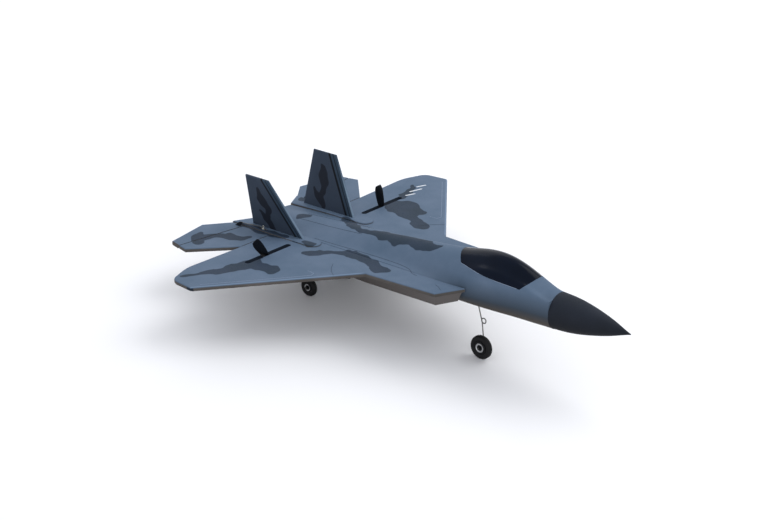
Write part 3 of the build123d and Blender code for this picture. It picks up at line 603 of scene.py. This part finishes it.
def tyre_tree():
    """Tyre from its radius, width, wall height, rib count, centre and rubber."""
    numbers = {"Radius": "NodeSocketFloat", "Width": "NodeSocketFloat", "Wall": "NodeSocketFloat"}
    numbers.update({"Ribs": "NodeSocketInt", "Centre": "NodeSocketVector", "Rubber": "NodeSocketMaterial"})
    tree, given, result = geometry_tree("ribbed_tyre", numbers)
    wall, width, radius = (given.outputs[key] for key in ("Wall", "Width", "Radius"))
    middle = {0: wall, 1: -0.5, 2: radius}
    inner = add_node(tree, "ShaderNodeMath", middle, operation="MULTIPLY_ADD").outputs[0]
    ring = add_node(tree, "GeometryNodeCurvePrimitiveCircle", {"Resolution": 96, "Radius": inner})
    sides = {"Width": wall, "Height": width}
    section = add_node(tree, "GeometryNodeCurvePrimitiveQuadrilateral", sides).outputs[0]
    corner = add_node(tree, "ShaderNodeMath", {0: wall, 1: 0.42}, operation="MULTIPLY").outputs[0]
    soft = add_node(tree, "GeometryNodeFilletCurve", {"Curve": section, "Radius": corner})
    soft.mode = "POLY"
    soft.inputs["Count"].default_value = 6
    profile = {"Curve": ring.outputs[0], "Profile Curve": soft.outputs[0]}
    swept = add_node(tree, "GeometryNodeCurveToMesh", profile)
    tread = add_node(tree, "ShaderNodeMath", {0: radius, 1: 0.9915}, operation="MULTIPLY").outputs[0]
    posts = add_node(tree, "GeometryNodeMeshCircle", {"Vertices": given.outputs["Ribs"], "Radius": tread})
    across = add_node(tree, "ShaderNodeMath", {0: width, 1: 0.55}, operation="MULTIPLY").outputs[0]
    size = add_node(tree, "ShaderNodeCombineXYZ", {"X": RIB_HEIGHT, "Y": RIB_THICKNESS, "Z": across})
    block = {"Size": size.outputs[0], "Vertices X": 2, "Vertices Y": 2, "Vertices Z": 4}
    rib = add_node(tree, "GeometryNodeMeshCube", block)
    place = {"Vector": add_node(tree, "GeometryNodeInputPosition").outputs[0]}
    turn = add_node(tree, "FunctionNodeAlignRotationToVector", place, axis="X", pivot_axis="Z")
    ribs = {"Points": posts.outputs[0], "Instance": rib.outputs[0], "Rotation": turn.outputs[0]}
    stood = add_node(tree, "GeometryNodeInstanceOnPoints", ribs)
    joined = add_node(tree, "GeometryNodeJoinGeometry", {"Geometry": swept.outputs[0]})
    tree.links.new(stood.outputs[0], joined.inputs[0])
    upright = {"Geometry": joined.outputs[0], "Rotation": (pi / 2, 0, 0)}
    upright["Translation"] = given.outputs["Centre"]
    moved = add_node(tree, "GeometryNodeTransform", upright)
    finish_tree(tree, moved, given.outputs["Rubber"], result)
    return tree


ribbed_tyre = tyre_tree()
# Tyre widths in millimetres.
WHEELS = {"nose_wheel": 8, "left_wheel": 7, "right_wheel": 7}
for wheel, width in WHEELS.items():
    low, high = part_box(f"{wheel}_tyre")
    radius = (high.z - low.z) / 2
    sizes = {"Radius": radius * 0.995, "Width": width * MM, "Wall": radius * 0.47, "Ribs": 40}
    sizes.update({"Centre": tuple((low + high) / 2), "Rubber": foam_rubber})
    tyre = grow(ribbed_tyre, f"{wheel}_ribbed_tyre", sizes)
    for face in tyre.data.polygons:
        face.use_smooth = True
    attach(tyre, wheel)
    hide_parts(f"{wheel}_tyre")
print("tyres on", ", ".join(WHEELS))

# %% [markdown]
# A bright ring is pressed into each hub's outer face, standing 0.2 mm proud, with a raised lip
# at its rim. It is a lathe shape: six points spun round the axle, so bmesh's spin makes it
# directly.

# %% Wheel rings
RING_STEPS = 48
RING_RADII = {"nose_wheel": (4.0, 5.9), "left_wheel": (3.3, 4.7), "right_wheel": (3.3, 4.7)}


def mesh_piece(name, mesh, material):
    """Turn a finished bmesh into a linked object with a material, normals outwards."""
    bmesh.ops.recalc_face_normals(mesh, faces=mesh.faces)
    data = bpy.data.meshes.new(name)
    mesh.to_mesh(data)
    mesh.free()
    data.materials.append(material)
    piece = bpy.data.objects.new(name, data)
    bpy.context.collection.objects.link(piece)
    return piece


def hub_ring(name, centre, y_in, y_out, inner, outer):
    """Flat ring about a Y axis, with a small raised lip at its rim."""
    mesh = bmesh.new()
    y_step = (y_in + y_out) / 2
    profile = [(inner, y_in), (outer, y_in), (outer, y_out)]
    profile += [(outer - 0.5, y_out), (outer - 0.8, y_step), (inner, y_step)]
    corners = [mesh.verts.new(centre + Vector((r * MM, y * MM, 0))) for r, y in profile]
    edges = [mesh.edges.new(pair) for pair in zip(corners, corners[1:] + corners[:1])]
    turn = {"cent": centre, "axis": (0, 1, 0), "angle": 2 * pi, "steps": RING_STEPS}
    bmesh.ops.spin(mesh, geom=corners + edges, use_merge=True, **turn)
    bmesh.ops.remove_doubles(mesh, verts=mesh.verts, dist=1e-6)
    return mesh_piece(name, mesh, turned_aluminium)


for wheel in WHEELS:
    low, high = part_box(f"{wheel}_hub")
    collar_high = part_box(f"{wheel}_collar")[1]
    centre = (low + high) / 2
    reach = -1 if collar_high.y < low.y else 1
    face = ((low.y if reach < 0 else high.y) - centre.y) / MM
    y_in, y_out = face - reach * 0.3, face + reach * 0.2
    ring = hub_ring(f"{wheel}_washer", centre, y_in, y_out, *RING_RADII[wheel])
    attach(ring, wheel)
    print(ring.name, "on the", "starboard" if reach < 0 else "port", "face")

# %% [markdown]
# Panel lines are scored in the foam. Cutting them would need the mould's own surface, so each is
# a fine cord of shadow instead, half sunk in the skin. Its plan is laid out in the level frame
# and dropped onto the surface below by ray casting.

# %% Dropping a line onto the deck
LINE_STEP = 4.0
ABOVE_ALL = 90
DECK_PIECES = ["upper_fuselage", "canopy_hatch"]
for side in ("left", "right"):
    DECK_PIECES += [f"{side}_wing", f"{side}_tail_boom", f"{side}_tailplane"]


def surface(names):
    """Search tree over the given frame pieces."""
    points, faces = [], []
    for name in names:
        mesh = nodes[name].data
        start = len(points)
        points += [v.co.copy() for v in mesh.vertices]
        faces += [[start + i for i in face.vertices] for face in mesh.polygons]
    return BVHTree.FromPolygons(points, faces)


deck = surface(DECK_PIECES)


def stepped(path, step):
    """Places along a path of straight runs, about a step apart."""
    for (a0, b0), (a1, b1) in zip(path, path[1:]):
        count = max(2, int(((a1 - a0) ** 2 + (b1 - b0) ** 2) ** 0.5 / step))
        for i in range(count + 1):
            yield a0 + (a1 - a0) * i / count, b0 + (b1 - b0) * i / count


def landed(casts):
    """The points that ray casts hit, without doubles."""
    found = []
    for point in casts:
        if point is not None and (not found or (point - found[-1]).length > 1e-5):
            found.append(point)
    return found


def dropped(path):
    """Points along a plan path, dropped onto the deck, in the row frame."""
    casts = (deck.ray_cast(level(x, y, ABOVE_ALL), -upward)[0] for x, y in stepped(path, LINE_STEP))
    return landed(casts)


print("deck pieces:", len(DECK_PIECES))

# %% [markdown]
# A tree turns lines into cords: it reads a mesh of bare edges as curves and sweeps a small
# six-sided section along them.

# %% Cords along lines


def cord_tree():
    """Fine cord along every line of a mesh."""
    numbers = {"Half width": "NodeSocketFloat", "Shade": "NodeSocketMaterial"}
    tree, given, result = geometry_tree("scored_cord", numbers)
    line = add_node(tree, "GeometryNodeMeshToCurve", {"Mesh": given.outputs["Geometry"]})
    section = {"Resolution": 6, "Radius": given.outputs["Half width"]}
    profile = add_node(tree, "GeometryNodeCurvePrimitiveCircle", section)
    swept = {"Curve": line.outputs[0], "Profile Curve": profile.outputs[0], "Fill Caps": True}
    finish_tree(tree, add_node(tree, "GeometryNodeCurveToMesh", swept), given.outputs["Shade"], result)
    return tree


scored_cord = cord_tree()


def lines_mesh(name, chains):
    """Mesh of open chains of points, without faces."""
    points, edges = [], []
    for chain in chains:
        start = len(points)
        points += chain
        edges += [(start + i, start + i + 1) for i in range(len(chain) - 1)]
    mesh = bpy.data.meshes.new(name)
    mesh.from_pydata(points, edges, [])
    return mesh


def scored(name, chains, body, half_width, shade):
    """Cord of shadow or paint along chains of points, riding on a body."""
    sizes = {"Half width": half_width * MM, "Shade": shade}
    piece = grow(scored_cord, name, sizes, lines_mesh(name + "_lines", chains))
    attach(piece, body)
    return piece


def both_sides(paths):
    """Each plan path dropped to starboard and to port."""
    return [dropped([(x, s * y) for x, y in path]) for path in paths for s in (-1, 1)]


print("cord inputs:", [item.name for item in scored_cord.interface.items_tree])

# %% [markdown]
# Four lines on each side: along the spine's foot with a kink at its front, across the wing root's
# front corner, across the leading edge, and along the rear spine. A pale line inside the wing's
# leading edge is where the paint was masked.

# %% Panel lines and leading-edge lines
PANEL_PATHS = [
    [
        (150, 37), (196, 36), (226, 35), (256, 34.5), (290, 35),
        (303, 36), (312, 38), (321, 44), (329, 45),
    ],
    [(364, 52), (371, 55), (380, 61)],
    [(224, 83), (231, 94), (239, 103), (249, 110)],
    [(96, 10), (150, 12), (210, 12)],
]
EDGE_PATHS = [
    [(143, 236), (166, 207), (186, 182), (210, 151.5), (228, 128), (226, 121), (215, 120)],
]
scored("panel_lines", both_sides(PANEL_PATHS), "airframe", 0.22, scored_line)
scored("leading_edge_lines", both_sides(EDGE_PATHS), "airframe", 0.22, pale_lip)
print("lines a side:", len(PANEL_PATHS) + len(EDGE_PATHS))

# %% [markdown]
# Where the canopy film ends, its cut edge shows as a fine pale line round the sill. The sill's
# side view is followed on both flanks by casting inwards from each side.

# %% Canopy lip
SILL = [
    (368.5, 36.2), (380, 26.4), (394, 25.9), (406, 25.2),
    (424, 22.8), (441, 20.2), (456, 18.4), (470.5, 16.7),
]
SILL_STEP = 3.0
OUTSIDE_ALL = 120
flank_surface = surface(["upper_fuselage"])


def near_flank(x, z, s):
    """Where an inward ray meets its own side of the fuselage, or None."""
    point = flank_surface.ray_cast(level(x, s * OUTSIDE_ALL, z), Vector((0, -s, 0)))[0]
    return point if point is not None and point.y * s > 2 * MM else None


def cast_in(path, s):
    """Points of a side-view path, cast inwards onto the fuselage flank."""
    return landed(near_flank(x, z, s) for x, z in stepped(path, SILL_STEP))


sill_chains = [cast_in(SILL, s) for s in (-1, 1)]
scored("canopy_sill_lip", sill_chains, "airframe", 0.28, pale_lip)
print("sill points:", [len(c) for c in sill_chains])

# %% [markdown]
# The port wing carries three plain slanted bars in white film, with no meaning. They are thin
# sheets laid on the surface, closed and with a little thickness, so their edges catch the light.

# %% Plain sticker bars
WING_TOP = 3
BAR_WIDTH, BAR_SLANT = 2.6, 4
# Station, distance from the centre line and length of each bar.
BARS = [(141, 168, 14), (136, 186, 20), (131, 204, 14)]


def sticker(name, corners, lift, raise_by=0.06):
    """Thin closed sheet through four level-frame corners, lifted along a direction."""
    mesh = bmesh.new()
    rows = []
    for height in (0.01, raise_by):
        rows.append([mesh.verts.new(level(*c) + lift * height * MM) for c in corners])
    bottom, top_row = rows
    mesh.faces.new(list(reversed(bottom)))
    mesh.faces.new(top_row)
    for i in range(4):
        j = (i + 1) % 4
        mesh.faces.new((bottom[i], bottom[j], top_row[j], top_row[i]))
    piece = mesh_piece(name, mesh, white_film)
    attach(piece, "airframe")


for k, (x, y, length) in enumerate(BARS):
    inner, outer = y - length / 2, y + length / 2
    rear, front = x - BAR_SLANT, x + BAR_SLANT
    plan = [(rear, inner), (rear + BAR_WIDTH, inner), (front, outer), (front - BAR_WIDTH, outer)]
    sticker(f"wing_bar_{k}", [(*corner, WING_TOP) for corner in plan], upward)
print("stickers:", len(BARS))

# %% [markdown]
# A plain pale floor, a large soft light high on the port side, a weaker fill from ahead, a third
# from behind and a pale world. Large lamps and a bright world keep the shadows faint, and the
# standard view transform leaves the paint's hex values as they are.

# %% Stage
bpy.ops.mesh.primitive_plane_add(size=12, location=(0, 0, 0))
floor = bpy.context.object
floor.name = "floor"
floor_material, tree, shader = new_material("pale_floor")
shader.inputs["Base Color"].default_value = (0.86, 0.86, 0.87, 1)
shader.inputs["Roughness"].default_value = 0.9
floor.data.materials.append(floor_material)


def soft_light(name, place, size, power, target=(0.05, 0, 0.08)):
    """Square area light aimed at a point."""
    lamp = bpy.data.lights.new(name, "AREA")
    lamp.shape = "SQUARE"
    lamp.size = size
    lamp.energy = power
    holder = bpy.data.objects.new(name, lamp)
    bpy.context.collection.objects.link(holder)
    holder.location = place
    holder.rotation_euler = (Vector(target) - Vector(place)).to_track_quat("-Z", "Y").to_euler()


soft_light("key", (0.6, 1.0, 1.9), 1.6, 18)
soft_light("fill", (1.6, -1.8, 1.0), 1.6, 8)
soft_light("rear", (-1.4, 0.9, 1.2), 1.4, 6)
world = bpy.data.worlds.new("soft_world")
bpy.context.scene.world = world
world.use_nodes = True
background = world.node_tree.nodes["Background"]
background.inputs["Color"].default_value = (0.93, 0.95, 1.0, 1)
background.inputs["Strength"].default_value = 0.95
bpy.context.scene.view_settings.view_transform = "Standard"
print("lights:", len(bpy.data.lights))

# %% [markdown]
# The camera looks from ahead of the starboard wing, a little above, through a long lens. Its
# angles are given in the airframe's level frame, and the lens as a focal length on a 36 mm sensor.

# %% Camera
AZIMUTH, ELEVATION, ROLL = 49.41, 22.78, -0.33
VIEW_DISTANCE = 2.1958
VIEW_TARGET = (275.4, -36.0, 6.7)
SENSOR = 36
LENS = 80.969
az, el, roll = radians(AZIMUTH), radians(ELEVATION), radians(ROLL)


def level_direction(x, y, z):
    """Direction in the level frame as one in the row frame."""
    return forward * x + Vector((0, y, 0)) + upward * z


look = level_direction(-cos(el) * cos(az), cos(el) * sin(az), -sin(el))
side = look.cross(upward).normalized()
above = side.cross(look)
right = side * cos(roll) + above * sin(roll)
top = above * cos(roll) - side * sin(roll)
camera_data = bpy.data.cameras.new("camera")
camera_data.lens = LENS
camera_data.sensor_width = SENSOR
camera = bpy.data.objects.new("camera", camera_data)
bpy.context.collection.objects.link(camera)
turn = Matrix((right, top, -look)).transposed()
camera.matrix_world = Matrix.Translation(level(*VIEW_TARGET) - look * VIEW_DISTANCE) @ turn.to_4x4()
bpy.context.scene.camera = camera
print("camera at", tuple(round(v, 3) for v in camera.location))
